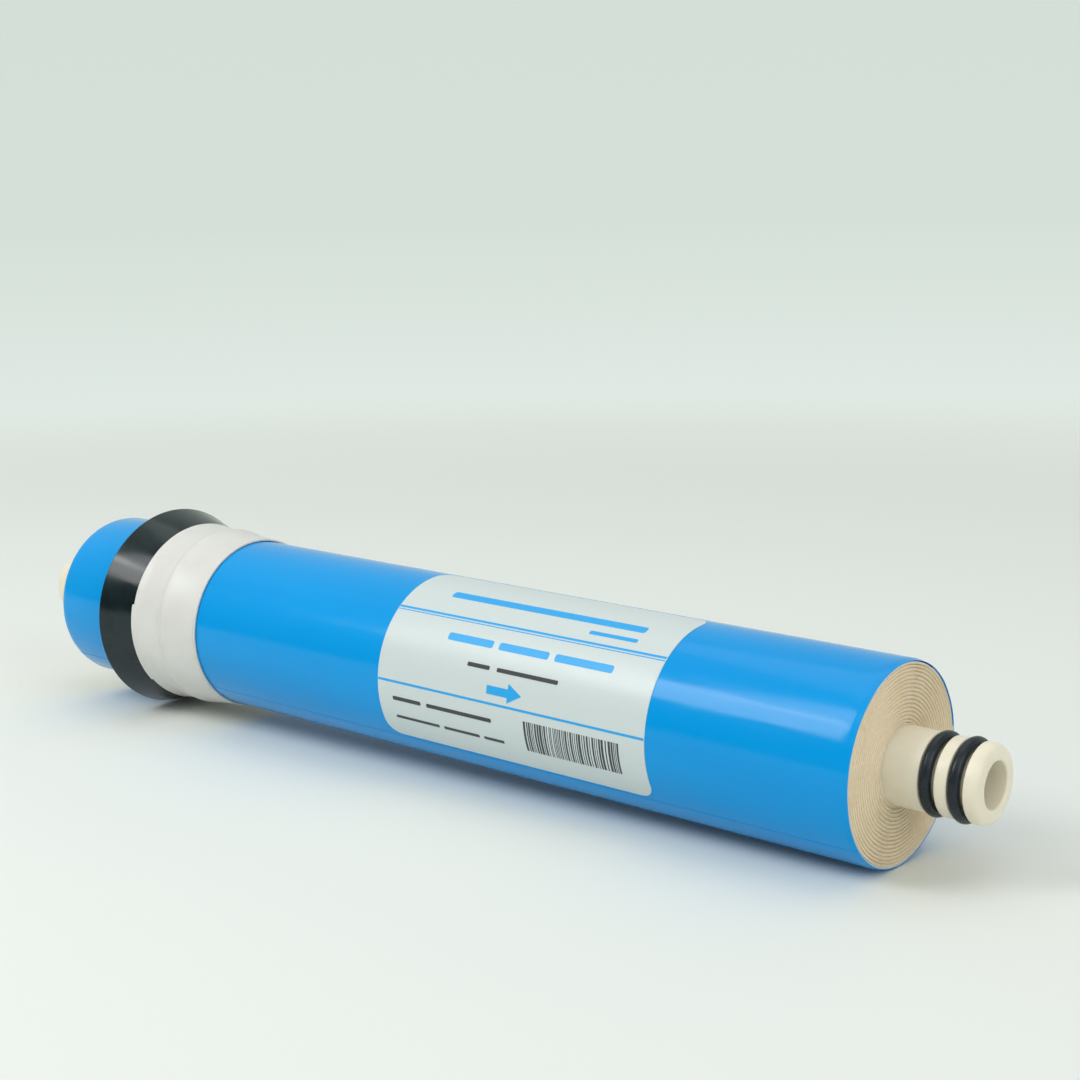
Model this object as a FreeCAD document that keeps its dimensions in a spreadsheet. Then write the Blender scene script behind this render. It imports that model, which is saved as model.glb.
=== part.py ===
import FreeCAD, Part
import math
import os

import Sketcher

# A spiral-wound reverse osmosis element, lying along X. The origin is on the
# axis, at the roll's end face on the O-ring side; the O-ring nose points to +X.
document = FreeCAD.newDocument("membrane_element")
sheet = document.addObject("Spreadsheet::Sheet", "dims")

driving = {
    # core tube
    "coreRadius": 8.5,
    "boreRadius": 5.0,
    "mouthRound": 0.5,
    "noseReach": 21.2,
    "noseRound": 1.7,
    "stubReach": 21.4,
    "stubRound": 1.2,
    "endWall": 3.0,
    "frontLand": 3.2,
    "grooveWidth": 3.6,
    "grooveDepth": 2.07,
    "midLand": 2.8,
    "holeRadius": 1.3,
    "holeInset": 26.0,
    "holeCount": 9,
    # O-rings
    "ringSection": 2.6,
    "ringSeat": 0.02,
    # wound sheets
    "rollLength": 255.4,
    "turns": 16,
    "sheetGap": 0.015,
    "carrierThickness": 0.23,
    "membraneThickness": 0.12,
    "spacerThickness": 0.305,
    "windingAngle": 170.6,
    # outer film
    "filmThickness": 0.13,
    "filmLapWidth": 12.0,
    "filmLapAngle": -40.0,
    # brine seal
    "sealInset": 23.3,
    "sealSeat": 0.02,
    "sleeveWall": 1.1,
    "sleeveReach": 9.0,
    "lipReach": 12.6,
    "lipRise": 3.9,
    "lipRim": 0.9,
    "lipRoot": 2.7,
    # tape band over the seal's sleeve
    "tapeThickness": 0.4,
    "tapeOverLip": 1.6,
    "tapeTent": 10.8,
    "tapeFoot": 2.0,
    "tapeLapThickness": 0.12,
    "tapeLapShift": 0.6,
    "tapeLapAngle": 13.6,
    "tapeLapSweep": 55.0,
    # label
    "labelThickness": 0.1,
    "labelStart": 50.1,
    "labelLength": 80.2,
    "labelWidth": 52.3,
    "labelLowEdge": -37.5,
    "labelCorner": 4.0,
}
for row, (name, value) in enumerate(driving.items(), start=1):
    sheet.set(f"A{row}", name)
    sheet.set(f"B{row}", str(value))
    sheet.setAlias(f"B{row}", name)
document.recompute()


class Size:
    """A length that carries its number and the formula that gives it."""

    def __init__(self, number, formula):
        self.number = number
        self.formula = formula

    def __add__(self, other):
        other = asSize(other)
        return Size(self.number + other.number, f"({self.formula} + {other.formula})")

    def __sub__(self, other):
        other = asSize(other)
        return Size(self.number - other.number, f"({self.formula} - {other.formula})")

    def __mul__(self, other):
        other = asSize(other)
        return Size(self.number * other.number, f"{self.formula} * {other.formula}")

    def __truediv__(self, other):
        other = asSize(other)
        return Size(self.number / other.number, f"{self.formula} / ({other.formula})")

    def __neg__(self):
        return Size(-self.number, f"(-{self.formula})")


def asSize(value):
    return value if isinstance(value, Size) else Size(float(value), repr(float(value)))


def cell(name):
    return Size(float(sheet.get(name)), f"dims.{name}")


def bind(item, prop, size):
    item.setExpression(prop, asSize(size).formula)


# sizes that several pieces share
zero = Size(0.0, "0")
coreRadius = cell("coreRadius")
rollLength = cell("rollLength")
sheetGap = cell("sheetGap")
noseTip = cell("noseReach")
stubTip = -(rollLength + cell("stubReach"))
grooveFloor = coreRadius - cell("grooveDepth")
outerGroove = noseTip - cell("frontLand") - cell("grooveWidth")
innerGroove = outerGroove - cell("midLand") - cell("grooveWidth")
firstTurn = cell("carrierThickness") + sheetGap
leafPitch = (cell("carrierThickness") + cell("membraneThickness") * 2
             + cell("spacerThickness") + sheetGap * 4)
carrierStart = coreRadius + sheetGap
leafStart = carrierStart + firstTurn
filmBore = leafStart + leafPitch * cell("turns")
filmRadius = filmBore + cell("filmThickness")
filmLapRadius = filmRadius + cell("filmThickness")
sealBore = filmLapRadius + cell("sealSeat")
sleeveRadius = sealBore + cell("sleeveWall")
rimPlace = cell("sealInset") - rollLength
lipFoot = rimPlace + cell("lipReach")
lipSlope = cell("lipRise") / cell("lipReach")
sleeveEnd = lipFoot + cell("sleeveReach")


def originPlane(body, role):
    return next(item for item in body.Origin.OriginFeatures if item.Role == role)


def newBody(name):
    body = document.addObject("PartDesign::Body", name)
    body.Label = name
    return body


def newSketch(body, name, role="XY_Plane"):
    sketch = body.newObject("Sketcher::SketchObject", name)
    sketch.AttachmentSupport = [(originPlane(body, role), "")]
    sketch.MapMode = "FlatFace"
    return sketch


def point(size2d):
    return FreeCAD.Vector(size2d[0].number, size2d[1].number, 0)


def pinPoint(sketch, geometry, end, place):
    """Hold one end of a line or arc at its formulas, measured from the origin."""
    for kind, size, axis in (("DistanceX", place[0], -2), ("DistanceY", place[1], -1)):
        if size is zero:
            sketch.addConstraint(Sketcher.Constraint("PointOnObject", geometry, end, axis))
            continue
        index = sketch.addConstraint(Sketcher.Constraint(kind, -1, 1, geometry, end, size.number))
        bind(sketch, f"Constraints[{index}]", size)


def roundArc(start, end, radius, centre):
    """Arc from start to end about the centre, and which of its ends is the start."""
    first = math.atan2(start.y - centre.y, start.x - centre.x)
    last = math.atan2(end.y - centre.y, end.x - centre.x)
    sweep = (last - first) % (2 * math.pi)
    circle = Part.Circle(centre, FreeCAD.Vector(0, 0, 1), radius)
    if sweep < math.pi:
        return Part.ArcOfCircle(circle, first, first + sweep), 1
    return Part.ArcOfCircle(circle, last, last + 2 * math.pi - sweep), 2


def outline(sketch, corners):
    """Closed outline. A corner is (x, y), or (x, y, radius, centre) if an arc leads on from it."""
    ends = []
    for index, corner in enumerate(corners):
        following = corners[(index + 1) % len(corners)]
        if len(corner) == 2:
            edge = Part.LineSegment(point(corner), point(following))
            startEnd = 1
        else:
            edge, startEnd = roundArc(point(corner), point(following),
                                      corner[2].number, point(corner[3]))
        geometry = sketch.addGeometry(edge)
        ends.append((geometry, startEnd))
        pinPoint(sketch, geometry, startEnd, corner)
        if len(corner) == 4:
            radius = sketch.addConstraint(Sketcher.Constraint("Radius", geometry, corner[2].number))
            bind(sketch, f"Constraints[{radius}]", corner[2])
    for index, (geometry, startEnd) in enumerate(ends):
        following, nextEnd = ends[(index + 1) % len(ends)]
        sketch.addConstraint(
            Sketcher.Constraint("Coincident", geometry, 3 - startEnd, following, nextEnd))


def revolve(body, sketch, name, sweep=None):
    turned = body.newObject("PartDesign::Revolution", name)
    turned.Profile = sketch
    turned.ReferenceAxis = (sketch, ["H_Axis"])
    turned.Angle = 360
    if sweep is not None:
        bind(turned, "Angle", sweep)
    return turned


def drillRow(body, name, role, inset, count):
    """A row of holes through both walls, evenly spaced, as far in from both of the roll's ends."""
    sketch = newSketch(body, f"{name}_sketch", role)
    radius = cell("holeRadius")
    circle = Part.Circle(FreeCAD.Vector(-inset.number, 0, 0), FreeCAD.Vector(0, 0, 1), radius.number)
    geometry = sketch.addGeometry(circle)
    pinPoint(sketch, geometry, 3, (-inset, zero))
    index = sketch.addConstraint(Sketcher.Constraint("Radius", geometry, radius.number))
    bind(sketch, f"Constraints[{index}]", radius)
    drilled = body.newObject("PartDesign::Pocket", name)
    drilled.Profile = sketch
    drilled.Type = "ThroughAll"
    drilled.Midplane = True
    document.recompute()
    pattern = body.newObject("PartDesign::LinearPattern", f"{name}_pattern")
    pattern.Originals = [drilled]
    pattern.Direction = (sketch, ["H_Axis"])
    pattern.Reversed = True
    bind(pattern, "Length", rollLength - inset * 2)
    bind(pattern, "Occurrences", count)
    body.Tip = pattern
    document.recompute()
    return pattern


def coreTube():
    body = newBody("core_tube")
    sketch = newSketch(body, "tube_profile")
    noseRound = cell("noseRound")
    mouthRound = cell("mouthRound")
    stubRound = cell("stubRound")
    boreRadius = cell("boreRadius")
    innerGrooveEnd = innerGroove + cell("grooveWidth")
    outerGrooveEnd = outerGroove + cell("grooveWidth")
    outline(sketch, [
        (stubTip, zero),
        (stubTip, coreRadius - stubRound, stubRound, (stubTip + stubRound, coreRadius - stubRound)),
        (stubTip + stubRound, coreRadius),
        (innerGroove, coreRadius),
        (innerGroove, grooveFloor),
        (innerGrooveEnd, grooveFloor),
        (innerGrooveEnd, coreRadius),
        (outerGroove, coreRadius),
        (outerGroove, grooveFloor),
        (outerGrooveEnd, grooveFloor),
        (outerGrooveEnd, coreRadius),
        (noseTip - noseRound, coreRadius, noseRound, (noseTip - noseRound, coreRadius - noseRound)),
        (noseTip, coreRadius - noseRound),
        (noseTip, boreRadius + mouthRound, mouthRound, (noseTip - mouthRound, boreRadius + mouthRound)),
        (noseTip - mouthRound, boreRadius),
        (stubTip + cell("endWall"), boreRadius),
        (stubTip + cell("endWall"), zero),
    ])
    revolve(body, sketch, "tube_turned")
    document.recompute()
    solidVolume = body.Shape.Volume
    holeInset = cell("holeInset")
    holeCount = cell("holeCount")
    pitch = (rollLength - holeInset * 2) / (holeCount - 1)
    drillRow(body, "upright_holes", "XY_Plane", holeInset, holeCount)
    drillRow(body, "level_holes", "XZ_Plane", holeInset + pitch / 2, holeCount - 1)
    if body.Shape.Volume >= solidVolume:
        raise RuntimeError("the tube's holes cut nothing")
    return body


def oRing(name, groove):
    """The ring sits on its groove's floor, against the wall nearer the roll."""
    ring = document.addObject("Part::Torus", name)
    ring.Label = name
    section = cell("ringSection")
    bind(ring, "Radius1", grooveFloor + cell("ringSeat") + section / 2)
    bind(ring, "Radius2", section / 2)
    ring.Placement = FreeCAD.Placement(
        FreeCAD.Vector(), FreeCAD.Rotation(FreeCAD.Vector(0, 1, 0), 90))
    bind(ring, "Placement.Base.x", groove + cell("ringSeat") + section / 2)
    return ring


def halfTurn(index):
    """Radius and sideways centre of the carrier's inner face in one half turn."""
    upper = index % 2 == 0
    if index < 0:
        radius = carrierStart.number + (0 if upper else firstTurn.number / 2)
        return radius, 0 if upper else firstTurn.number / 2
    radius = leafStart.number + index * leafPitch.number / 2
    return radius, 0 if upper else leafPitch.number / 2


def endAngle(radius):
    """Angle in the last lower half turn where a face of this radius meets the film."""
    limit = filmBore.number - sheetGap.number
    pitch = leafPitch.number
    cosine = (limit ** 2 - radius ** 2 - pitch ** 2 / 4) / (pitch * radius)
    return 2 * math.pi - math.acos(max(-1.0, cosine))


def spiralPoint(index, depth, angle):
    radius, centre = halfTurn(index)
    reach = radius + depth
    return FreeCAD.Vector(0, centre + reach * math.cos(angle), reach * math.sin(angle))


def spiralFace(depth, start, stop, lastAngle):
    """Arcs of one sheet face, outwards along the winding; depth is from the carrier's inner face."""
    arcs = []
    for index in range(start, stop + 1):
        first = 0 if index % 2 == 0 else math.pi
        last = first + math.pi if index < stop else lastAngle
        if last - first > 1e-6:
            middle = (first + last) / 2
            arcs.append(Part.Arc(spiralPoint(index, depth, first), spiralPoint(index, depth, middle),
                                 spiralPoint(index, depth, last)).toShape())
    return arcs


def turnAboutAxis(item, angle):
    """Turn a piece about the X axis; 0 degrees faces the front and 90 the top."""
    item.Placement = FreeCAD.Placement(
        FreeCAD.Vector(), FreeCAD.Rotation(FreeCAD.Vector(-1, 0, 0), 1))
    bind(item, "Placement.Rotation.Angle", angle)


def woundSheet(name, wire):
    sheetSolid = document.addObject("Part::Feature", name)
    sheetSolid.Label = name
    face = Part.Face(wire)
    sheetSolid.Shape = face.extrude(FreeCAD.Vector(-rollLength.number, 0, 0))
    turnAboutAxis(sheetSolid, cell("windingAngle"))
    return sheetSolid


def join(start, end):
    return Part.LineSegment(start, end).toShape()


def lastHalf():
    return 2 * int(cell("turns").number) - 1


def sheetEnd(depth):
    radius, centre = halfTurn(lastHalf())
    return endAngle(radius + depth)


def plainSheet(name, depth, thickness, start):
    """A sheet of one layer, wound from its start half turn to the film."""
    last = lastHalf()
    angle = sheetEnd(depth + thickness)
    inner = spiralFace(depth, start, last, angle)
    outer = spiralFace(depth + thickness, start, last, angle)
    startLine = join(spiralPoint(start, depth, 0), spiralPoint(start, depth + thickness, 0))
    endLine = join(spiralPoint(last, depth, angle), spiralPoint(last, depth + thickness, angle))
    return woundSheet(name, Part.Wire(inner + [endLine] + outer[::-1] + [startLine]))


def membraneLeaf():
    """One sheet folded in half: two layers with the spacer between, and the fold at the tube."""
    last = lastHalf()
    wall = cell("membraneThickness").number
    lower = firstTurn.number
    upper = lower + wall + cell("spacerThickness").number + 2 * sheetGap.number
    lowerAngle = sheetEnd(lower + wall)
    upperAngle = sheetEnd(upper + wall)

    def foldArc(low, high):
        """Half circle that joins two faces across the fold."""
        start = spiralPoint(0, low, 0)
        end = spiralPoint(0, high, 0)
        crown = (start + end) / 2 - FreeCAD.Vector(0, 0, (high - low) / 2)
        return Part.Arc(start, crown, end).toShape()

    def squareEnd(depth, angle):
        half = last if angle > math.pi + 1e-6 else last - 1
        return join(spiralPoint(half, depth, angle), spiralPoint(half, depth + wall, angle))

    outside = (spiralFace(lower, 0, last, lowerAngle)[::-1] + [foldArc(lower, upper + wall)]
               + spiralFace(upper + wall, 0, last, upperAngle))
    inside = (spiralFace(upper, 0, last, upperAngle)[::-1] + [foldArc(lower + wall, upper)]
              + spiralFace(lower + wall, 0, last, lowerAngle))
    return woundSheet("membrane_leaf", Part.Wire(
        outside + [squareEnd(upper, upperAngle)] + inside + [squareEnd(lower, lowerAngle)]))


def cylinderX(name, radius, length, sweep=None):
    """Cylinder from X = 0 towards -X; a part turn starts at the front and rises."""
    item = document.addObject("Part::Cylinder", name)
    bind(item, "Radius", radius)
    bind(item, "Height", length)
    if sweep is not None:
        bind(item, "Angle", sweep)
    item.Placement = FreeCAD.Placement(FreeCAD.Vector(), FreeCAD.Rotation(
        FreeCAD.Vector(0, -1, 0), FreeCAD.Vector(0, 0, 1), FreeCAD.Vector(-1, 0, 0), "ZXY"))
    return item


def cut(name, base, tool):
    item = document.addObject("Part::Cut", name)
    item.Base = base
    item.Tool = tool
    return item


def arcSweep(length, radius):
    """Degrees that a length takes up round a radius."""
    return length / radius * (180 / math.pi)


def filmWrap():
    """Film round the roll, with its outer end lapped on as a thin step."""
    ring = cut("film_ring", cylinderX("film_outside", filmRadius, rollLength),
               cylinderX("film_inside", filmBore, rollLength))
    sweep = arcSweep(cell("filmLapWidth"), filmRadius)
    lap = cut("film_lap", cylinderX("lap_outside", filmLapRadius, rollLength, sweep),
              cylinderX("lap_inside", filmRadius - cell("filmThickness") / 2, rollLength))
    turnAboutAxis(lap, cell("filmLapAngle") - sweep)
    film = document.addObject("Part::Fuse", "film_wrap")
    film.Label = "film_wrap"
    film.Base = ring
    film.Tool = lap
    film.Refine = True
    return film


def lipRadius(place):
    """Outer radius of the seal's lip at a place along X."""
    return sleeveRadius + (lipFoot - place) * lipSlope


def brineSeal():
    body = newBody("brine_seal")
    sketch = newSketch(body, "seal_profile")
    rimRadius = lipRadius(rimPlace)
    outline(sketch, [
        (sleeveEnd, sealBore),
        (sleeveEnd, sleeveRadius),
        (lipFoot, sleeveRadius),
        (rimPlace, rimRadius),
        (rimPlace, rimRadius - cell("lipRim")),
        (lipFoot - cell("lipRoot"), sealBore),
    ])
    revolve(body, sketch, "seal_turned")
    return body


def tapeProfile(body, name, low, high, shift):
    """Closed tape outline between two heights above the seal's sleeve."""
    sketch = newSketch(body, name)
    left = lipFoot - cell("tapeOverLip") - shift
    knee = lipFoot
    shoulder = sleeveEnd + cell("sealSeat")
    foot = shoulder + cell("tapeTent")
    right = foot + cell("tapeFoot") - shift
    flared = lipRadius(left)
    stations = [(left, flared), (knee, sleeveRadius), (shoulder, sleeveRadius),
                (foot, sealBore), (right, sealBore)]
    outline(sketch, [(place, radius + low) for place, radius in stations]
            + [(place, radius + high) for place, radius in stations[::-1]])
    return sketch


def sealTape():
    """Tape band over the sleeve and the film, with its outer end lapped on."""
    body = newBody("seal_tape")
    seat = cell("sealSeat")
    top = seat + cell("tapeThickness")
    band = tapeProfile(body, "band_profile", seat, top, zero)
    revolve(body, band, "band_turned")
    lap = tapeProfile(body, "lap_profile", top - cell("tapeLapThickness"),
                      top + cell("tapeLapThickness"), cell("tapeLapShift"))
    lap.AttachmentOffset = FreeCAD.Placement(
        FreeCAD.Vector(), FreeCAD.Rotation(FreeCAD.Vector(1, 0, 0), 1))
    bind(lap, "AttachmentOffset.Rotation.Angle", Size(180.0, "180") - cell("tapeLapAngle"))
    revolve(body, lap, "lap_turned", cell("tapeLapSweep"))
    document.recompute()
    return body


def cornerCutter(name, side, end, inset):
    """What a rounded corner takes off: a square block less the corner's circle."""
    corner = cell("labelCorner")
    block = document.addObject("Part::Box", f"{name}_block")
    bind(block, "Length", corner * 2)
    bind(block, "Width", corner * 2)
    bind(block, "Height", filmLapRadius)
    if end < 0:
        bind(block, "Placement.Base.x", -(corner * 2))
    if side < 0:
        bind(block, "Placement.Base.y", -(corner * 2))
    bind(block, "Placement.Base.z", filmRadius / 2)
    disc = document.addObject("Part::Cylinder", f"{name}_disc")
    bind(disc, "Radius", corner)
    bind(disc, "Height", filmLapRadius)
    bind(disc, "Placement.Base.z", filmRadius / 2)
    cutter = cut(name, block, disc)
    cutter.Placement = FreeCAD.Placement(
        FreeCAD.Vector(), FreeCAD.Rotation(FreeCAD.Vector(-1, 0, 0), 1))
    place = -corner if end > 0 else corner - cell("labelLength")
    bind(cutter, "Placement.Base.x", place)
    bind(cutter, "Placement.Rotation.Angle", inset - 90)
    return cutter


def label():
    """Sticker bent round the film, with four rounded corners."""
    labelBore = filmRadius + sheetGap
    sweep = arcSweep(cell("labelWidth"), labelBore)
    cornerSweep = arcSweep(cell("labelCorner"), labelBore)
    patch = cut("label_patch",
                cylinderX("label_outside", labelBore + cell("labelThickness"),
                          cell("labelLength"), sweep),
                cylinderX("label_inside", labelBore, cell("labelLength")))
    cutters = []
    for end in (1, -1):
        cutters.append(cornerCutter(f"low_corner_{len(cutters)}", -1, end, cornerSweep))
        cutters.append(cornerCutter(f"high_corner_{len(cutters)}", 1, end, sweep - cornerSweep))
    corners = document.addObject("Part::MultiFuse", "label_corners")
    corners.Shapes = cutters
    sticker = cut("label", patch, corners)
    sticker.Label = "label"
    turnAboutAxis(sticker, cell("labelLowEdge"))
    bind(sticker, "Placement.Base.x", -cell("labelStart"))
    return sticker


spacerDepth = firstTurn.number + cell("membraneThickness").number + sheetGap.number
pieces = [
    coreTube(),
    oRing("inner_o_ring", innerGroove),
    oRing("outer_o_ring", outerGroove),
    plainSheet("permeate_carrier", 0, cell("carrierThickness").number, -2),
    membraneLeaf(),
    plainSheet("feed_spacer", spacerDepth, cell("spacerThickness").number, 0),
    filmWrap(),
    brineSeal(),
    sealTape(),
    label(),
]
document.recompute()

for item in document.Objects:
    if "Invalid" in item.State or "Error" in item.State:
        raise RuntimeError(f"{item.Name} failed: {item.State}")
for piece in pieces:
    if piece.Shape.isNull() or not piece.Shape.isValid():
        raise RuntimeError(f"{piece.Label} has no valid shape")

os.makedirs("parts", exist_ok=True)
for piece in pieces:
    piece.Shape.exportStep(f"parts/{piece.Label}.step")
    box = piece.Shape.BoundBox
    print(f"{piece.Label}: {len(piece.Shape.Solids)} solid, {piece.Shape.Volume:.1f} mm3,"
          f" X {box.XMin:.2f} to {box.XMax:.2f}, Z {box.ZMin:.2f} to {box.ZMax:.2f}")
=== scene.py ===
import math
import random

import bmesh
import bpy
from mathutils import Matrix, Vector, noise


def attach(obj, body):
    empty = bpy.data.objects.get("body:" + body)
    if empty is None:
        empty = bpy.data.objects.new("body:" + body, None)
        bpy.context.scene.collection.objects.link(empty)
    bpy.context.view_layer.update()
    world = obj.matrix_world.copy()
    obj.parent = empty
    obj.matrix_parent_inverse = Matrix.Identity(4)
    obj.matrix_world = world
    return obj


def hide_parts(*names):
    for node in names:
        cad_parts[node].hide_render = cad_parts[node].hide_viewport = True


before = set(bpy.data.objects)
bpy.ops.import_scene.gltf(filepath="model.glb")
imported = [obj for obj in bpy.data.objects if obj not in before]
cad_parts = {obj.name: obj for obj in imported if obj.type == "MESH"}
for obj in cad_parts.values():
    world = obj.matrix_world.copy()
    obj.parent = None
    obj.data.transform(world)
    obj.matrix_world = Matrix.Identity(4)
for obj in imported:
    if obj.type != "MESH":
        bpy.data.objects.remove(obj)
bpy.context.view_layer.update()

mm = 0.001
print("frame loaded")


# places on the element: 0 degrees is the front, 90 the top

def around(x, radius, degrees):
    angle = math.radians(degrees)
    return Vector((x, -radius * math.cos(angle), radius * math.sin(angle))) * mm


def smoothStep(value, low, high):
    share = min(1.0, max(0.0, (value - low) / (high - low)))
    return share * share * (3 - 2 * share)


# camera

cameraPlace = Vector((0.18834, -0.34027, 0.12064))
cameraRight = Vector((0.765047, 0.643974, 0.0))
cameraUp = Vector((-0.121459, 0.144295, 0.982052))
cameraData = bpy.data.cameras.new("camera")
cameraData.lens = 64.09
cameraData.sensor_width = 36.0
cameraData.clip_start = 0.01
camera = bpy.data.objects.new("camera", cameraData)
turn = Matrix((cameraRight, cameraUp, cameraRight.cross(cameraUp))).transposed()
camera.matrix_world = Matrix.Translation(cameraPlace) @ turn.to_4x4()
bpy.context.scene.collection.objects.link(camera)
bpy.context.scene.camera = camera
bpy.context.scene.view_settings.view_transform = "Standard"


# materials

def addNode(material, kind, inputs=None, **settings):
    tree = material.node_tree
    node = tree.nodes.new(kind)
    for key, value in settings.items():
        setattr(node, key, value)
    for key, value in (inputs or {}).items():
        if isinstance(value, bpy.types.NodeSocket):
            tree.links.new(value, node.inputs[key])
        else:
            node.inputs[key].default_value = value
    return node


def newFinish(name, colour, roughness, inputs=None):
    material = bpy.data.materials.new(name)
    material.use_nodes = True
    material.diffuse_color = (*colour, 1)
    shader = material.node_tree.nodes["Principled BSDF"]
    shader.inputs["Base Color"].default_value = (*colour, 1)
    shader.inputs["Roughness"].default_value = roughness
    for key, value in (inputs or {}).items():
        shader.inputs[key].default_value = value
    return material, shader


def millimetres(material, stretch=(1, 1, 1)):
    coordinates = addNode(material, "ShaderNodeTexCoord")
    scale = [1000 * value for value in stretch]
    mapping = addNode(material, "ShaderNodeMapping",
                      {"Vector": coordinates.outputs["Object"], "Scale": scale})
    return mapping.outputs["Vector"]


def cloud(material, vector, size, detail=3.0, roughness=0.5, distortion=0.0):
    field = addNode(material, "ShaderNodeTexNoise", {
        "Vector": vector, "Scale": 1 / size, "Detail": detail,
        "Roughness": roughness, "Distortion": distortion})
    return field.outputs["Fac"]


def spread(material, value, low, high, toLow, toHigh):
    node = addNode(material, "ShaderNodeMapRange", {
        "Value": value, "From Min": low, "From Max": high, "To Min": toLow, "To Max": toHigh})
    return node.outputs["Result"]


def blendColours(material, share, first, second):
    node = addNode(material, "ShaderNodeMix", data_type="RGBA")
    for index, value in ((0, share), (6, first), (7, second)):
        if isinstance(value, bpy.types.NodeSocket):
            material.node_tree.links.new(value, node.inputs[index])
        else:
            node.inputs[index].default_value = value if index == 0 else (*value, 1)
    return node.outputs[2]


def arithmetic(material, operation, first, second=0.0):
    node = addNode(material, "ShaderNodeMath", {0: first, 1: second}, operation=operation)
    return node.outputs["Value"]


def colourBy(material, shader, share, first, second):
    material.node_tree.links.new(
        blendColours(material, share, first, second), shader.inputs["Base Color"])


def roughBy(material, shader, value):
    material.node_tree.links.new(value, shader.inputs["Roughness"])


def reliefBy(material, shader, layers):
    # each layer is (height, depth in millimetres)
    normal = None
    for height, depth in layers:
        inputs = {"Height": height, "Strength": 1.0, "Distance": depth * mm}
        if normal is not None:
            inputs["Normal"] = normal
        normal = addNode(material, "ShaderNodeBump", inputs).outputs["Normal"]
    material.node_tree.links.new(normal, shader.inputs["Normal"])


def axisDistance(material):
    # millimetres from the element's axis
    parts = addNode(material, "ShaderNodeSeparateXYZ", {"Vector": millimetres(material)})
    flat = addNode(material, "ShaderNodeCombineXYZ",
                   {"Y": parts.outputs["Y"], "Z": parts.outputs["Z"]})
    length = addNode(material, "ShaderNodeVectorMath", {0: flat.outputs["Vector"]},
                     operation="LENGTH")
    return length.outputs["Value"]


def filmFinish():
    material, shader = newFinish("blue_film", (0.0, 0.29, 0.70), 0.14, {"Specular IOR Level": 0.22})
    long = millimetres(material, (0.16, 1, 1))
    plain = millimetres(material)
    broad = cloud(material, long, 16, 2)
    colourBy(material, shader, spread(material, broad, 0.3, 0.7, 0, 1),
             (0.0, 0.28, 0.68), (0.0, 0.305, 0.725))
    roughBy(material, shader, spread(material, cloud(material, long, 2.0, 4), 0.3, 0.7, 0.10, 0.19))
    reliefBy(material, shader, [
        (cloud(material, long, 5.5, 2), 0.05),
        (cloud(material, plain, 2.2, 2, distortion=0.4), 0.012),
        (cloud(material, plain, 0.35, 3), 0.0012),
    ])
    return material


def rubberFinish(name, colour, roughness):
    material, shader = newFinish(name, colour, roughness, {"Specular IOR Level": 0.30})
    plain = millimetres(material)
    bloom = cloud(material, plain, 7, 5, 0.6)
    colourBy(material, shader, spread(material, bloom, 0.35, 0.75, 0, 1),
             colour, tuple(value * 1.9 + 0.002 for value in colour))
    roughBy(material, shader, spread(material, bloom, 0.3, 0.7, roughness - 0.04, roughness + 0.08))
    reliefBy(material, shader, [(cloud(material, plain, 1.6, 2), 0.006),
                                (cloud(material, plain, 0.12, 3), 0.0012)])
    return material


def tapeFinish():
    material, shader = newFinish("white_tape", (0.64, 0.635, 0.60), 0.36)
    plain = millimetres(material)
    ribbed = millimetres(material, (0.25, 1, 1))
    colourBy(material, shader, spread(material, cloud(material, plain, 9, 4), 0.3, 0.7, 0, 1),
             (0.615, 0.61, 0.575), (0.665, 0.66, 0.63))
    roughBy(material, shader, spread(material, cloud(material, plain, 3, 3), 0.3, 0.7, 0.30, 0.44))
    reliefBy(material, shader, [(cloud(material, ribbed, 4.0, 2), 0.04),
                                (cloud(material, plain, 0.25, 4), 0.003)])
    return material


def tubeFinish():
    material, shader = newFinish("tube_plastic", (0.77, 0.715, 0.57), 0.36, {
        "Subsurface Weight": 0.2, "Subsurface Scale": 0.004, "Subsurface Radius": (1.0, 0.8, 0.55)})
    plain = millimetres(material)
    colourBy(material, shader, spread(material, cloud(material, plain, 6, 4), 0.3, 0.7, 0, 1),
             (0.75, 0.69, 0.545), (0.79, 0.74, 0.60))
    roughBy(material, shader, spread(material, cloud(material, plain, 1.4, 3), 0.3, 0.7, 0.31, 0.43))
    reliefBy(material, shader, [(cloud(material, plain, 2.5, 2), 0.015),
                                (cloud(material, plain, 0.15, 4), 0.0025)])
    return material


paleEdge = {"from": 21.15, "to": 21.45, "colour": (0.70, 0.69, 0.66)}


def sheetFinish(name, low, high, roughness, grain, depth):
    # cut edges of a wound sheet, paler in the outermost turn
    material, shader = newFinish(name, low, roughness)
    plain = millimetres(material)
    patches = spread(material, cloud(material, plain, grain * 3, 4), 0.3, 0.7, 0, 1)
    mottled = blendColours(material, patches, low, high)
    pale = spread(material, axisDistance(material), paleEdge["from"], paleEdge["to"], 0, 1)
    colourBy(material, shader, pale, mottled, paleEdge["colour"])
    reliefBy(material, shader, [(cloud(material, plain, grain, 3), depth),
                                (cloud(material, plain, grain / 4, 3), depth / 5)])
    return material


def labelFinish():
    material, shader = newFinish("label_film", (0.57, 0.64, 0.63), 0.34)
    plain = millimetres(material)
    grain = cloud(material, plain, 0.16, 3, 0.6)
    colourBy(material, shader, spread(material, grain, 0.3, 0.7, 0, 1),
             (0.545, 0.615, 0.61), (0.60, 0.665, 0.66))
    roughBy(material, shader, spread(material, cloud(material, plain, 4, 3), 0.3, 0.7, 0.28, 0.38))
    reliefBy(material, shader, [(cloud(material, millimetres(material, (0.3, 1, 1)), 6, 2), 0.03),
                                (grain, 0.004)])
    return material


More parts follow.
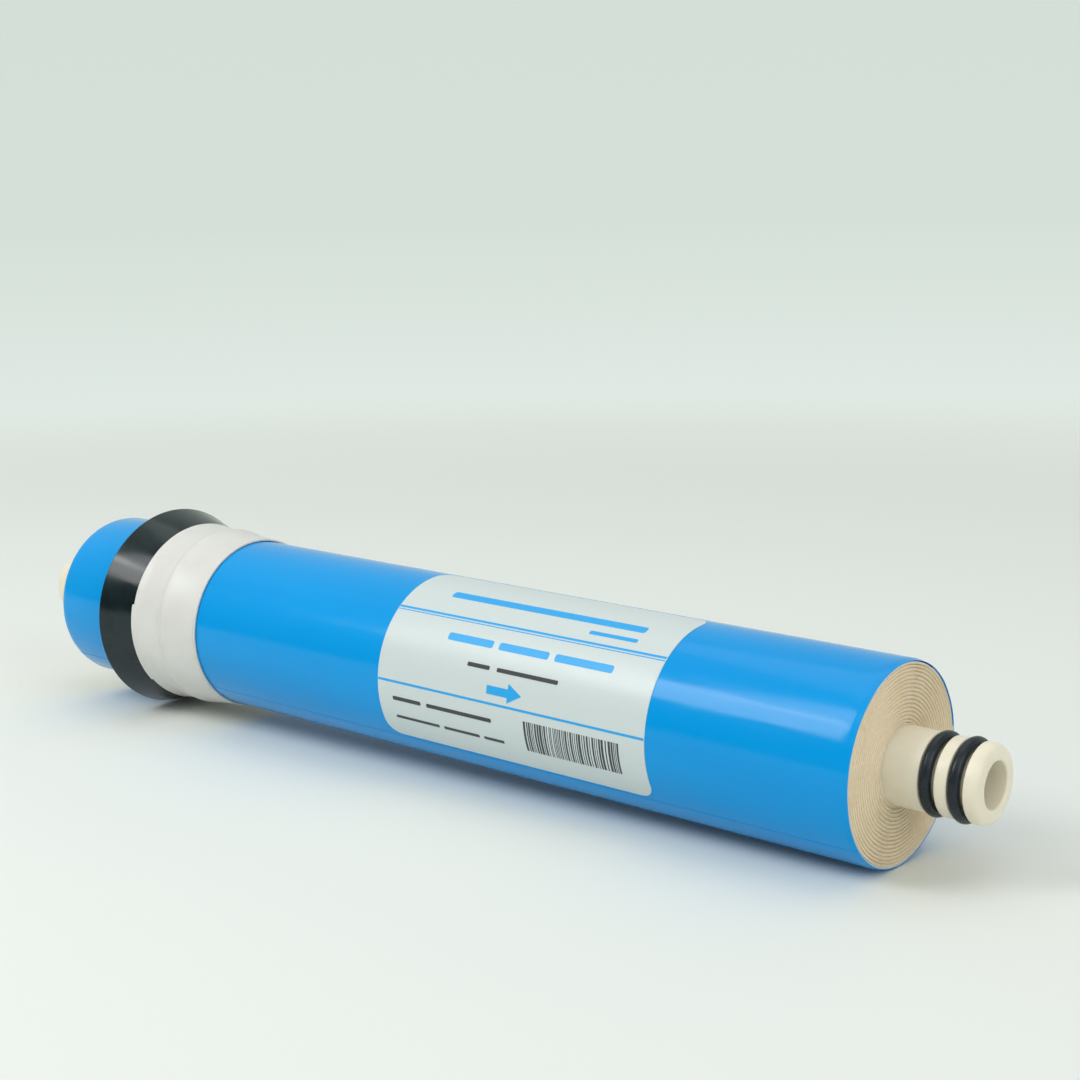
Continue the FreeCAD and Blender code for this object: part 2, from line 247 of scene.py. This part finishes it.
def inkFinish(name, colour):
    material, shader = newFinish(name, colour, 0.4)
    plain = millimetres(material)
    patchy = cloud(material, plain, 0.3, 4)
    colourBy(material, shader, spread(material, patchy, 0.3, 0.7, 0, 1), colour,
             tuple(value * 0.9 + 0.02 for value in colour))
    roughBy(material, shader, spread(material, patchy, 0.3, 0.7, 0.34, 0.48))
    reliefBy(material, shader, [(patchy, 0.002)])
    return material


blueFilm = filmFinish()
sealRubber = rubberFinish("seal_rubber", (0.006, 0.012, 0.014), 0.14)
ringRubber = rubberFinish("o_ring_rubber", (0.007, 0.011, 0.016), 0.24)
whiteTape = tapeFinish()
tubePlastic = tubeFinish()
carrierFabric = sheetFinish("carrier_fabric", (0.75, 0.64, 0.46), (0.83, 0.73, 0.56), 0.75, 0.22, 0.05)
membraneFilm = sheetFinish("membrane_film", (0.74, 0.61, 0.41), (0.82, 0.71, 0.52), 0.55, 0.30, 0.04)
# the feed net's beige is darker than the membrane's: partly the net's own tone, partly painted shade of the
# open feed channels between the turns, which its recess also shades
spacerNet = sheetFinish("spacer_net", (0.60, 0.49, 0.33), (0.72, 0.61, 0.44), 0.6, 0.5, 0.12)
labelFilm = labelFinish()
blueInk = inkFinish("blue_ink", (0.0, 0.36, 0.80))
blackInk = inkFinish("black_ink", (0.025, 0.03, 0.035))
print("materials made")


# mesh helpers

def finishPiece(name, bm, material, nodes=(), crease=32):
    bmesh.ops.remove_doubles(bm, verts=bm.verts, dist=1e-7)
    bmesh.ops.dissolve_degenerate(bm, edges=bm.edges, dist=1e-8)
    bmesh.ops.recalc_face_normals(bm, faces=bm.faces)
    mesh = bpy.data.meshes.new(name)
    bm.to_mesh(mesh)
    bm.free()
    mesh.materials.append(material)
    mesh.shade_smooth()
    mesh.set_sharp_from_angle(angle=math.radians(crease))
    piece = bpy.data.objects.new(name, mesh)
    bpy.context.scene.collection.objects.link(piece)
    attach(piece, "root")
    if nodes:
        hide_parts(*nodes)
    print(name, len(mesh.polygons), "faces")
    return piece


def profileLoop(bm, corners, closed=True):
    # corners are (x, radius) or (x, radius, rounding), on the front of the element
    spots = [bm.verts.new(around(corner[0], corner[1], 0)) for corner in corners]
    count = len(spots) if closed else len(spots) - 1
    for index in range(count):
        bm.edges.new((spots[index], spots[(index + 1) % len(spots)]))
    for spot, corner in zip(spots, corners):
        if len(corner) > 2:
            bmesh.ops.bevel(bm, geom=[spot], offset=corner[2] * mm, affect="VERTICES",
                            segments=6, profile=0.5, material=-1, clamp_overlap=True)


def spinLoop(bm, steps, degrees=360.0):
    return bmesh.ops.spin(
        bm, geom=bm.verts[:] + bm.edges[:], cent=(0, 0, 0), axis=(-1, 0, 0),
        angle=math.radians(degrees), steps=steps, use_merge=degrees == 360.0)


def turned(corners, steps=192, closed=True):
    bm = bmesh.new()
    profileLoop(bm, corners, closed)
    spinLoop(bm, steps)
    return bm


def reshape(bm, place):
    # place takes and returns (x, radius, degrees) in millimetres
    for spot in bm.verts:
        x, y, z = spot.co / mm
        radius = math.hypot(y, z)
        if radius > 1e-6:
            spot.co = around(*place(x, radius, math.degrees(math.atan2(z, -y))))


# the tube with its nose and stub

tube = {
    "radius": 8.5, "bore": 5.0, "noseTip": 21.2, "stubTip": -276.8, "endWall": 3.0,
    "noseRound": 1.7, "mouthRound": 0.5, "stubRound": 1.2,
    "grooves": ((8.0, 11.6), (14.4, 18.0)), "grooveFloor": 6.43, "landRound": 0.25,
}


def makeTube():
    size = tube
    corners = [(size["stubTip"], 0.0), (size["stubTip"], size["radius"], size["stubRound"])]
    for low, high in size["grooves"]:
        corners += [(low, size["radius"], size["landRound"]), (low, size["grooveFloor"]),
                    (high, size["grooveFloor"]), (high, size["radius"], size["landRound"])]
    corners += [(size["noseTip"], size["radius"], size["noseRound"]),
                (size["noseTip"], size["bore"], size["mouthRound"]),
                (size["stubTip"] + size["endWall"], size["bore"]),
                (size["stubTip"] + size["endWall"], 0.0)]
    bm = turned(corners, closed=False)
    finishPiece("tube", bm, tubePlastic, ["core_tube"])


makeTube()


# the two O-rings

ring = {"section": 1.3, "middle": 7.75, "places": {"inner_o_ring": 9.32, "outer_o_ring": 15.72}}


def makeRings():
    for node, place in ring["places"].items():
        bm = bmesh.new()
        bmesh.ops.create_circle(bm, cap_ends=False, segments=32, radius=ring["section"] * mm)
        bmesh.ops.translate(bm, verts=bm.verts, vec=around(place, ring["middle"], 0))
        spinLoop(bm, 160)
        finishPiece(node.replace("o_ring", "ring"), bm, ringRubber, [node], 60)


makeRings()


# the wound sheets

winding = {
    "coreRadius": 8.5, "turns": 16, "rollLength": 255.4, "gap": 0.015, "turnedBy": 170.6,
    "carrier": 0.23, "membrane": 0.12, "spacer": 0.305, "filmBore": 22.12,
    "arcStep": 0.9, "crownDepth": 1.6, "crownPull": 0.30, "crownFrom": 19.5, "crownTo": 22.2,
}
cutEnd = {
    "zone": 2, "apart": 40, "middle": 0.5, "fineGrain": 0.9, "fineShare": 0.6,
    "broadGrain": 0.22, "broadShare": 0.9, "swayGrain": 0.8, "sway": 0.035,
}
firstTurn = winding["carrier"] + winding["gap"]
leafPitch = (winding["carrier"] + 2 * winding["membrane"] + winding["spacer"] + 4 * winding["gap"])
carrierStart = winding["coreRadius"] + winding["gap"]
leafStart = carrierStart + firstTurn
lastHalf = 2 * winding["turns"] - 1


def halfTurn(index):
    # radius of the carrier's inner face in one half turn, and how far its centre lies to the back
    upper = index % 2 == 0
    if index < 0:
        return carrierStart + (0 if upper else firstTurn / 2), 0 if upper else firstTurn / 2
    return leafStart + index * leafPitch / 2, 0 if upper else leafPitch / 2


def lastSweep(depth):
    radius = halfTurn(lastHalf)[0] + depth
    limit = winding["filmBore"] - winding["gap"]
    cosine = (limit ** 2 - radius ** 2 - leafPitch ** 2 / 4) / (leafPitch * radius)
    return math.degrees(math.pi - math.acos(max(-1.0, cosine)))


def crown(x, radius):
    # the outermost turns draw in a little towards both end faces
    depth = min(-x, winding["rollLength"] + x)
    pull = 1 - smoothStep(depth, 0, winding["crownDepth"])
    return radius - winding["crownPull"] * pull * smoothStep(radius, winding["crownFrom"], winding["crownTo"])


def stripSection(bm, centre, low, high, inset):
    # a flat strip's section beside the tube, with its edges eased at both end faces
    ease = min(0.06, (high - low) / 3)
    front = [(-inset - ease, low), (-inset, low + ease), (-inset, high - ease), (-inset - ease, high)]
    back = [(-winding["rollLength"] - x, reach) for x, reach in front[::-1]]
    spots = [bm.verts.new((x * mm, (centre + reach) * mm, 0)) for x, reach in front + back]
    edges = [bm.edges.new((spot, spots[(index + 1) % len(spots)])) for index, spot in enumerate(spots)]
    return spots, edges


def woundLayer(bm, depth, thickness, start, inset, folded=False):
    # the section is spun half turn by half turn about the winding's two centres
    radius, centre = halfTurn(start)
    spots, edges = stripSection(bm, centre, radius + depth, radius + depth + thickness, inset)
    if not folded:
        bm.faces.new(spots)
    geometry = spots + edges
    for index in range(start, lastHalf + 1):
        radius, centre = halfTurn(index)
        degrees = 180.0 if index < lastHalf else lastSweep(depth + thickness)
        if degrees < 0.5:
            break
        steps = max(2, round(math.radians(degrees) * radius / winding["arcStep"]))
        result = bmesh.ops.spin(bm, geom=geometry, cent=(0, centre * mm, 0), axis=(1, 0, 0),
                                angle=math.radians(degrees), steps=steps, use_merge=False)
        geometry = result["geom_last"]
    bm.faces.new([item for item in geometry if isinstance(item, bmesh.types.BMVert)])


def leafFold(bm, lower, upper, inset):
    # the fold beside the tube, which joins the leaf's two layers
    radius, centre = halfTurn(0)
    wall = winding["membrane"]
    spots, edges = stripSection(bm, centre, radius + lower, radius + lower + wall, inset)
    middle = centre + radius + (lower + upper + wall) / 2
    bmesh.ops.spin(bm, geom=spots + edges, cent=(0, middle * mm, 0), axis=(1, 0, 0),
                   angle=math.pi, steps=10, use_merge=False)


def finishSheet(name, bm, material, node, rough, seed):
    roll = winding["rollLength"]
    cut = cutEnd
    bmesh.ops.rotate(bm, verts=bm.verts, cent=(0, 0, 0),
                     matrix=Matrix.Rotation(math.radians(winding["turnedBy"]), 3, (-1, 0, 0)))
    for spot in bm.verts:
        x, y, z = spot.co / mm
        atEnd = 1.0 if x > -cut["zone"] else -1.0 if x < cut["zone"] - roll else 0.0
        if atEnd:
            place = Vector((seed + cut["apart"] * atEnd, y, z))
            fine = noise.noise(place * cut["fineGrain"]) * cut["fineShare"]
            broad = noise.noise(place * cut["broadGrain"]) * cut["broadShare"]
            x -= atEnd * rough * (cut["middle"] + (fine + broad))
        reach = math.hypot(y, z)
        share = crown(x, reach) / reach
        wander = noise.noise(Vector((seed, y * cut["swayGrain"], z * cut["swayGrain"])))
        sway = 1 + cut["sway"] * wander / reach if atEnd else 1
        spot.co = Vector((x, y * share * sway, z * share * sway)) * mm
    finishPiece(name, bm, material, [node], 50)


def makeSheets():
    size = winding
    bm = bmesh.new()
    woundLayer(bm, 0, size["carrier"], -2, 0.06)
    finishSheet("permeate_cloth", bm, carrierFabric, "permeate_carrier", 0.10, 3)

    lower = firstTurn
    upper = lower + size["membrane"] + size["spacer"] + 2 * size["gap"]
    bm = bmesh.new()
    woundLayer(bm, lower, size["membrane"], 0, 0.02, True)
    woundLayer(bm, upper, size["membrane"], 0, 0.02, True)
    leafFold(bm, lower, upper, 0.02)
    finishSheet("membrane_sheet", bm, membraneFilm, "membrane_leaf", 0.10, 11)

    bm = bmesh.new()
    woundLayer(bm, lower + size["membrane"] + size["gap"], size["spacer"], 0, 0.32)
    finishSheet("feed_net", bm, spacerNet, "feed_spacer", 0.15, 23)


makeSheets()


# a lapped end, which the film and the tape both have

def addLap(bm, corners, size, steps):
    lap = bmesh.new()
    profileLoop(lap, corners)
    start = math.radians(size["lapAngle"] - size["lapSweep"])
    bmesh.ops.rotate(lap, verts=lap.verts, cent=(0, 0, 0), matrix=Matrix.Rotation(start, 3, (-1, 0, 0)))
    spinLoop(lap, steps, size["lapSweep"])
    lapMesh = bpy.data.meshes.new("lap")
    lap.to_mesh(lapMesh)
    lap.free()
    bm.from_mesh(lapMesh)
    bpy.data.meshes.remove(lapMesh)
    bmesh.ops.holes_fill(bm, edges=[edge for edge in bm.edges if edge.is_boundary], sides=0)


# the blue film, with its lapped end

film = {
    "radius": 22.25, "thickness": 0.13, "length": 255.4, "lapAngle": -40.0, "lapSweep": 30.9,
    "lapRise": 0.07, "lapSink": 0.02, "curlDepth": 1.5, "curl": 0.30,
    "edgeRagged": 0.07, "raggedReach": 6.0, "raggedGrain": 0.8,
    "wave": 0.02, "waveAlong": 0.02, "waveAround": 0.35,
    "endStations": (0, 0.25, 0.6, 1.0, 1.5), "firstStation": 4, "stationStep": 8, "stationCount": 31,
}


def filmShape(x, radius, degrees):
    depth = min(-x, film["length"] + x)
    curl = film["curl"] * (1 - smoothStep(depth, 0, film["curlDepth"]))
    place = around(0, film["raggedReach"], degrees) / mm
    if depth < 0.01:
        outward = 1 if x > -film["length"] / 2 else -1
        x -= outward * film["edgeRagged"] * (0.5 + noise.noise(place * film["raggedGrain"]))
    spot = Vector((x * film["waveAlong"], place.y * film["waveAround"], place.z * film["waveAround"]))
    return x, radius - curl + film["wave"] * noise.noise(spot), degrees


def makeFilm():
    size = film
    inner = size["radius"] - size["thickness"]
    stations = [-depth for depth in size["endStations"]]
    stations += [-size["firstStation"] - size["stationStep"] * index for index in range(size["stationCount"])]
    stations += [depth - size["length"] for depth in size["endStations"][::-1]]
    corners = [(x, size["radius"]) for x in stations] + [(x, inner) for x in stations[::-1]]
    bm = turned(corners, 240)
    top = size["radius"] + size["lapRise"]
    bottom = size["radius"] - size["lapSink"]
    addLap(bm, [(x, top) for x in stations] + [(x, bottom) for x in stations[::-1]], size, 24)
    reshape(bm, filmShape)
    finishPiece("film", bm, blueFilm, ["film_wrap"], 40)


makeFilm()


# the brine seal

seal = {
    "bore": 22.40, "sleeve": 23.50, "sleeveEnd": -210.5, "foot": -219.5, "rim": -232.1,
    "rimRadius": 27.40, "rimInner": 26.50, "root": -222.2, "rimRound": 0.28, "footRound": 1.6,
}


def makeSeal():
    size = seal
    bm = turned([
        (size["sleeveEnd"], size["bore"]), (size["sleeveEnd"], size["sleeve"], 0.3),
        (size["foot"], size["sleeve"], size["footRound"]),
        (size["rim"], size["rimRadius"], size["rimRound"]),
        (size["rim"], size["rimInner"], size["rimRound"]), (size["root"], size["bore"], 0.8),
    ], 224)
    finishPiece("seal", bm, sealRubber, ["brine_seal"], 30)


makeSeal()


# the tape over the seal's sleeve

tape = {
    "thickness": 0.4, "stations": (
        (-221.1, 24.42), (-220.3, 24.17), (-219.5, 23.94), (-218.4, 23.92), (-214.5, 23.90), (-212.0, 23.92),
        (-211.1, 23.93), (-210.75, 24.08), (-210.45, 24.14), (-210.1, 23.92), (-209.6, 23.74), (-209.1, 23.78),
        (-208.8, 23.72), (-206.0, 23.42), (-202.5, 23.10), (-199.68, 22.84), (-198.6, 22.82), (-197.68, 22.82)),
    "lapRise": 0.12, "lapShift": 0.6, "lapAngle": 13.6, "lapSweep": 55.0,
    "edgeWander": 0.05, "wanderGrain": 2.5, "wrinkle": 0.03, "wrinkleGrain": 3, "wrinkleAlong": 0.35,
}


def tapeShape(x, radius, degrees):
    angle = math.radians(degrees)
    spot = Vector((math.cos(angle), math.sin(angle), 0))
    x += tape["edgeWander"] * noise.noise(spot * tape["wanderGrain"] + Vector((0, 0, 5)))
    along = Vector((0, 0, x * tape["wrinkleAlong"]))
    radius += tape["wrinkle"] * noise.noise(spot * tape["wrinkleGrain"] + along)
    return x, radius, degrees


def makeTape():
    size = tape
    outer = [(x, radius) for x, radius in size["stations"]]
    inner = [(x, radius - size["thickness"]) for x, radius in size["stations"][::-1]]
    bm = turned(outer + inner, 224)
    shift, rise = size["lapShift"], size["lapRise"]
    addLap(bm, [(x - shift, radius + rise) for x, radius in outer + inner], size, 34)
    reshape(bm, tapeShape)
    finishPiece("tape", bm, whiteTape, ["seal_tape"], 40)


makeTape()


# the label and its print

label = {
    "radius": 22.265, "thickness": 0.1, "right": -50.1, "length": 80.2, "width": 52.3,
    "lowEdge": -37.5, "corner": 4.0, "inkRise": 0.022,
}
labelTop = label["radius"] + label["thickness"]


def flatPatch(bm, corners, rounding=0.0, segments=8):
    # corners are (x, degrees); the patch is drawn flat, with the way round as its height
    spots = [bm.verts.new((x * mm, math.radians(degrees) * label["radius"] * mm, 0))
             for x, degrees in corners]
    bm.faces.new(spots)
    if rounding:
        bmesh.ops.bevel(bm, geom=spots, offset=rounding * mm, affect="VERTICES",
                        segments=segments, profile=0.5, material=-1)


def bendPatches(bm, radius, thickness, step=1.5):
    # cuts the flat patches every few degrees, bends them round the roll and thickens them
    heights = [spot.co.y for spot in bm.verts]
    gap = math.radians(step) * label["radius"] * mm
    height = math.ceil(min(heights) / gap) * gap
    while height < max(heights):
        bmesh.ops.bisect_plane(bm, geom=bm.verts[:] + bm.edges[:] + bm.faces[:], dist=1e-8,
                               plane_co=(0, height, 0), plane_no=(0, 1, 0))
        height += gap
    for spot in bm.verts:
        x = spot.co.x / mm
        spot.co = around(x, radius, math.degrees(spot.co.y / mm / label["radius"]))
    bmesh.ops.recalc_face_normals(bm, faces=bm.faces)
    outward = sum(face.normal.dot(Vector((0, *face.calc_center_median()[1:]))) for face in bm.faces)
    if outward < 0:
        bmesh.ops.reverse_faces(bm, faces=bm.faces)
    bmesh.ops.solidify(bm, geom=bm.faces[:], thickness=-thickness * mm)


def makeLabel():
    size = label
    highEdge = size["lowEdge"] + math.degrees(size["width"] / size["radius"])
    left = size["right"] - size["length"]
    bm = bmesh.new()
    flatPatch(bm, [(left, size["lowEdge"]), (size["right"], size["lowEdge"]),
                   (size["right"], highEdge), (left, highEdge)], size["corner"])
    bendPatches(bm, size["radius"], size["thickness"])
    finishPiece("sticker", bm, labelFilm, ["label"], 40)


makeLabel()

# heights on the label are in degrees; a dash is (left, right, height, width)
printing = {
    "ruleInset": 0.15, "inkSink": 0.01, "dashRounding": 0.3,
    "rules": ((50.4, 0.60), (48.4, 0.28), (2.0, 0.60), (0.1, 0.28)),
    "arrow": {"tail": -95.6, "neck": -89.3, "tip": -85.1, "height": 10.2, "shaft": 2.0, "head": 4.6},
    "blueDashes": ((-111.0, -97.0, 36.8, 1.9), (-95.2, -80.4, 36.8, 1.9), (-78.6, -62.0, 36.8, 1.9)),
    "topDashes": ((-118.0, -60.0, 68.0, 2.2), (-73.5, -60.0, 58.0, 1.1)),
    "blackDashes": ((-102.6, -95.8, 22.6, 1.0), (-93.6, -75.5, 22.6, 1.0), (-125.6, -116.5, -8.6, 1.0),
                    (-114.6, -94.2, -8.6, 1.0), (-125.6, -111.5, -21.4, 0.8), (-110.0, -98.8, -21.4, 0.8),
                    (-97.4, -91.2, -21.4, 0.8)),
    "bars": {
        "left": -84.4, "right": -57.2, "low": -23.2, "high": -3.8, "seed": 5, "endGap": 0.3,
        "widths": (0.22, 0.22, 0.34, 0.48, 0.62), "gaps": (0.2, 0.24, 0.36, 0.5), "bendStep": 3},
}


def dash(bm, left, right, height, width, rounding=0.0):
    half = math.degrees(width / 2 / label["radius"])
    spots = [(left, height - half), (right, height - half), (right, height + half), (left, height + half)]
    flatPatch(bm, spots, rounding, 5)


def makePrint():
    inset = printing["ruleInset"]
    sink = printing["inkSink"]
    blue = bmesh.new()
    for height, width in printing["rules"]:
        dash(blue, label["right"] - label["length"] + inset, label["right"] - inset, height, width)
    arrow = printing["arrow"]
    shaft = math.degrees(arrow["shaft"] / 2 / label["radius"])
    head = math.degrees(arrow["head"] / 2 / label["radius"])
    middle = arrow["height"]
    flatPatch(blue, [(arrow["tail"], middle - shaft), (arrow["neck"], middle - shaft),
                     (arrow["neck"], middle - head), (arrow["tip"], middle),
                     (arrow["neck"], middle + head), (arrow["neck"], middle + shaft),
                     (arrow["tail"], middle + shaft)])
    for left, right, height, width in printing["blueDashes"] + printing["topDashes"]:
        dash(blue, left, right, height, width, width * printing["dashRounding"])
    bendPatches(blue, labelTop - sink, label["inkRise"] + sink)
    finishPiece("blue_print", blue, blueInk, crease=40)

    black = bmesh.new()
    for left, right, height, width in printing["blackDashes"]:
        dash(black, left, right, height, width, width * printing["dashRounding"])
    bars = printing["bars"]
    chance = random.Random(bars["seed"])
    place = bars["left"]
    middle = (bars["low"] + bars["high"]) / 2
    tall = math.radians(bars["high"] - bars["low"]) * label["radius"]
    while place < bars["right"] - bars["endGap"]:
        wide = chance.choice(bars["widths"])
        dash(black, place, place + wide, middle, tall)
        place += wide + chance.choice(bars["gaps"])
    bendPatches(black, labelTop - sink, label["inkRise"] + sink, bars["bendStep"])
    finishPiece("black_print", black, blackInk, crease=40)


makePrint()


# floor, surroundings and lamps

studio = {
    "floorHeight": -22.25, "floorLean": 0.02219, "floorSpan": 9.0, "floorMiddle": 0.13,
    "paperTo": 0.34, "glowFrom": 0.95, "nearStop": 0.30, "midStop": 0.5, "farStop": 0.92,
    "glossyFrom": 0.08, "glossyTo": 0.95, "skyLight": (0.97, 1.0, 0.985),
    "floorColour": (0.755, 0.785, 0.745), "nearColour": (0.785, 0.83, 0.775),
    "midColour": (0.74, 0.81, 0.765), "farColour": (0.665, 0.745, 0.69),
    "topColour": (0.645, 0.735, 0.675), "ambient": 0.58,
}


def makeFloor():
    size = studio
    bm = bmesh.new()
    bmesh.ops.create_circle(bm, cap_ends=True, segments=96, radius=size["floorSpan"])
    for spot in bm.verts:
        spot.co.x -= size["floorMiddle"]
        spot.co.z = size["floorHeight"] * mm + size["floorLean"] * spot.co.x
    mesh = bpy.data.meshes.new("floor")
    bm.to_mesh(mesh)
    bm.free()
    floor = bpy.data.objects.new("floor", mesh)
    bpy.context.scene.collection.objects.link(floor)
    material, shader = newFinish("floor_paper", size["floorColour"], 0.75, {"Specular IOR Level": 0.25})
    coordinates = addNode(material, "ShaderNodeTexCoord")
    centred = addNode(material, "ShaderNodeVectorMath",
                      {0: coordinates.outputs["Object"], 1: (size["floorMiddle"], 0, 0)}, operation="ADD")
    distance = addNode(material, "ShaderNodeVectorMath", {0: centred.outputs["Vector"]},
                       operation="LENGTH").outputs["Value"]
    share = arithmetic(material, "DIVIDE", distance, arithmetic(material, "ADD", distance, 1.0))
    ramp = addNode(material, "ShaderNodeValToRGB", {"Fac": share})
    ramp.color_ramp.elements[0].position = size["nearStop"]
    ramp.color_ramp.elements[0].color = (*size["nearColour"], 1)
    ramp.color_ramp.elements[1].position = size["farStop"]
    ramp.color_ramp.elements[1].color = (*size["farColour"], 1)
    middle = ramp.color_ramp.elements.new(size["midStop"])
    middle.color = (*size["midColour"], 1)
    glow = addNode(material, "ShaderNodeEmission", {"Color": ramp.outputs["Color"], "Strength": 1.0})
    path = addNode(material, "ShaderNodeLightPath")
    seen = arithmetic(material, "MAXIMUM", path.outputs["Is Camera Ray"], arithmetic(
        material, "MAXIMUM", path.outputs["Is Glossy Ray"], path.outputs["Is Transmission Ray"]))
    # the far floor glows like the backdrop, so that the two meet softly
    away = addNode(material, "ShaderNodeMapRange", {
        "Value": distance, "From Min": size["paperTo"], "From Max": size["glowFrom"]},
        interpolation_type="SMOOTHSTEP")
    mix = addNode(material, "ShaderNodeMixShader",
                  {0: arithmetic(material, "MULTIPLY", seen, away.outputs["Result"]),
                   1: shader.outputs["BSDF"], 2: glow.outputs["Emission"]})
    output = material.node_tree.nodes["Material Output"]
    material.node_tree.links.new(mix.outputs["Shader"], output.inputs["Surface"])
    mesh.materials.append(material)


def makeSurroundings():
    world = bpy.data.worlds.new("surroundings")
    world.use_nodes = True
    bpy.context.scene.world = world
    tree = world.node_tree
    tree.nodes.clear()
    direction = addNode(world, "ShaderNodeTexCoord").outputs["Generated"]
    parts = addNode(world, "ShaderNodeSeparateXYZ", {"Vector": direction})
    height = spread(world, parts.outputs["Z"], 0.0, 0.12, 0, 1)
    backdrop = blendColours(world, height, studio["farColour"], studio["topColour"])
    path = addNode(world, "ShaderNodeLightPath")
    seen = addNode(world, "ShaderNodeBackground", {"Color": backdrop, "Strength": 1.0})
    # the room in front of the element is darker than the backdrop behind it
    depth = arithmetic(world, "ADD", parts.outputs["Y"], arithmetic(
        world, "MULTIPLY", parts.outputs["Z"], 1.1))
    glossyShare = spread(world, depth, -0.75, 0.65, studio["glossyFrom"], studio["glossyTo"])
    mirrored = addNode(world, "ShaderNodeBackground", {"Color": backdrop, "Strength": glossyShare})
    light = addNode(world, "ShaderNodeBackground",
                    {"Color": (*studio["skyLight"], 1), "Strength": studio["ambient"]})
    glossy = arithmetic(
        world, "MAXIMUM", path.outputs["Is Glossy Ray"], path.outputs["Is Transmission Ray"])
    first = addNode(world, "ShaderNodeMixShader",
                    {0: glossy, 1: light.outputs["Background"], 2: mirrored.outputs["Background"]})
    second = addNode(world, "ShaderNodeMixShader", {
        0: path.outputs["Is Camera Ray"], 1: first.outputs["Shader"], 2: seen.outputs["Background"]})
    addNode(world, "ShaderNodeOutputWorld", {"Surface": second.outputs["Shader"]})


def makeLamp(name, azimuth, elevation, distance, width, height, radiance, aim=(-0.06, 0, 0)):
    data = bpy.data.lights.new(name, "AREA")
    data.shape = "RECTANGLE"
    data.size = width
    data.size_y = height
    data.energy = math.pi * width * height * radiance
    lamp = bpy.data.objects.new(name, data)
    side = math.radians(azimuth)
    rise = math.radians(elevation)
    place = Vector((math.cos(rise) * math.cos(side), math.cos(rise) * math.sin(side), math.sin(rise)))
    lamp.rotation_euler = place.to_track_quat("Z", "Y").to_euler()
    lamp.location = Vector(aim) + place * distance
    bpy.context.scene.collection.objects.link(lamp)


makeFloor()
makeSurroundings()
makeLamp("strip_lamp", -131, 35, 1.0, 0.42, 0.27, 6.5, (-0.025, 0, 0))
makeLamp("front_lamp", -62, 48, 1.6, 1.1, 1.1, 0.80)
makeLamp("top_lamp", 120, 76, 1.3, 1.3, 1.0, 0.70)
makeLamp("end_lamp", -12, 26, 1.5, 0.9, 0.9, 2.0)
makeLamp("seal_lamp", -118, 52, 1.2, 0.36, 0.36, 4.6, (-0.22, 0, 0))
print("studio made")
